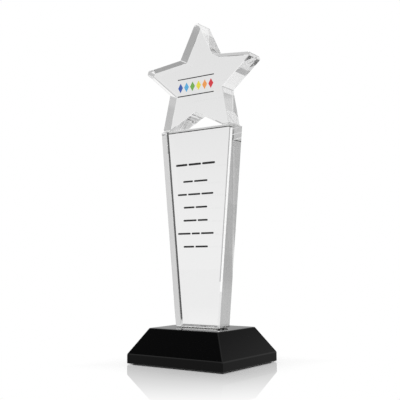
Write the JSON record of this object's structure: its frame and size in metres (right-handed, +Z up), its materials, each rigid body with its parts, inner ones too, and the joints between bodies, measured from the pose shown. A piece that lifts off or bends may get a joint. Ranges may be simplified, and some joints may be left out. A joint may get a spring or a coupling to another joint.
{
  "type": "crystal star award",
  "caption": "Free-standing crystal award: a clear blunt-tipped star bonded on a clear tapered column that stands on a black glass base with sloping sides.",
  "frame": {"origin": "on the resting plane, under the middle of the base", "axes": "+Z up, +X to the award's right seen from the front, the front faces -Y"},
  "size_m": [0.1124, 0.085, 0.3013],
  "materials": {
    "clear_crystal": "clear polished optical glass",
    "black_crystal": "black polished glass, opaque",
    "clear_adhesive": "cured clear adhesive film",
    "pad_felt": "thin black felt pad"
  },
  "bodies": {
    "root": {"crystal_star": "clear_crystal", "crystal_column": "clear_crystal", "black_base": "black_crystal", "column_bond": "clear_adhesive", "star_bond_left": "clear_adhesive", "star_bond_right": "clear_adhesive", "base_pad": "pad_felt"}
  },
  "joints": []
}
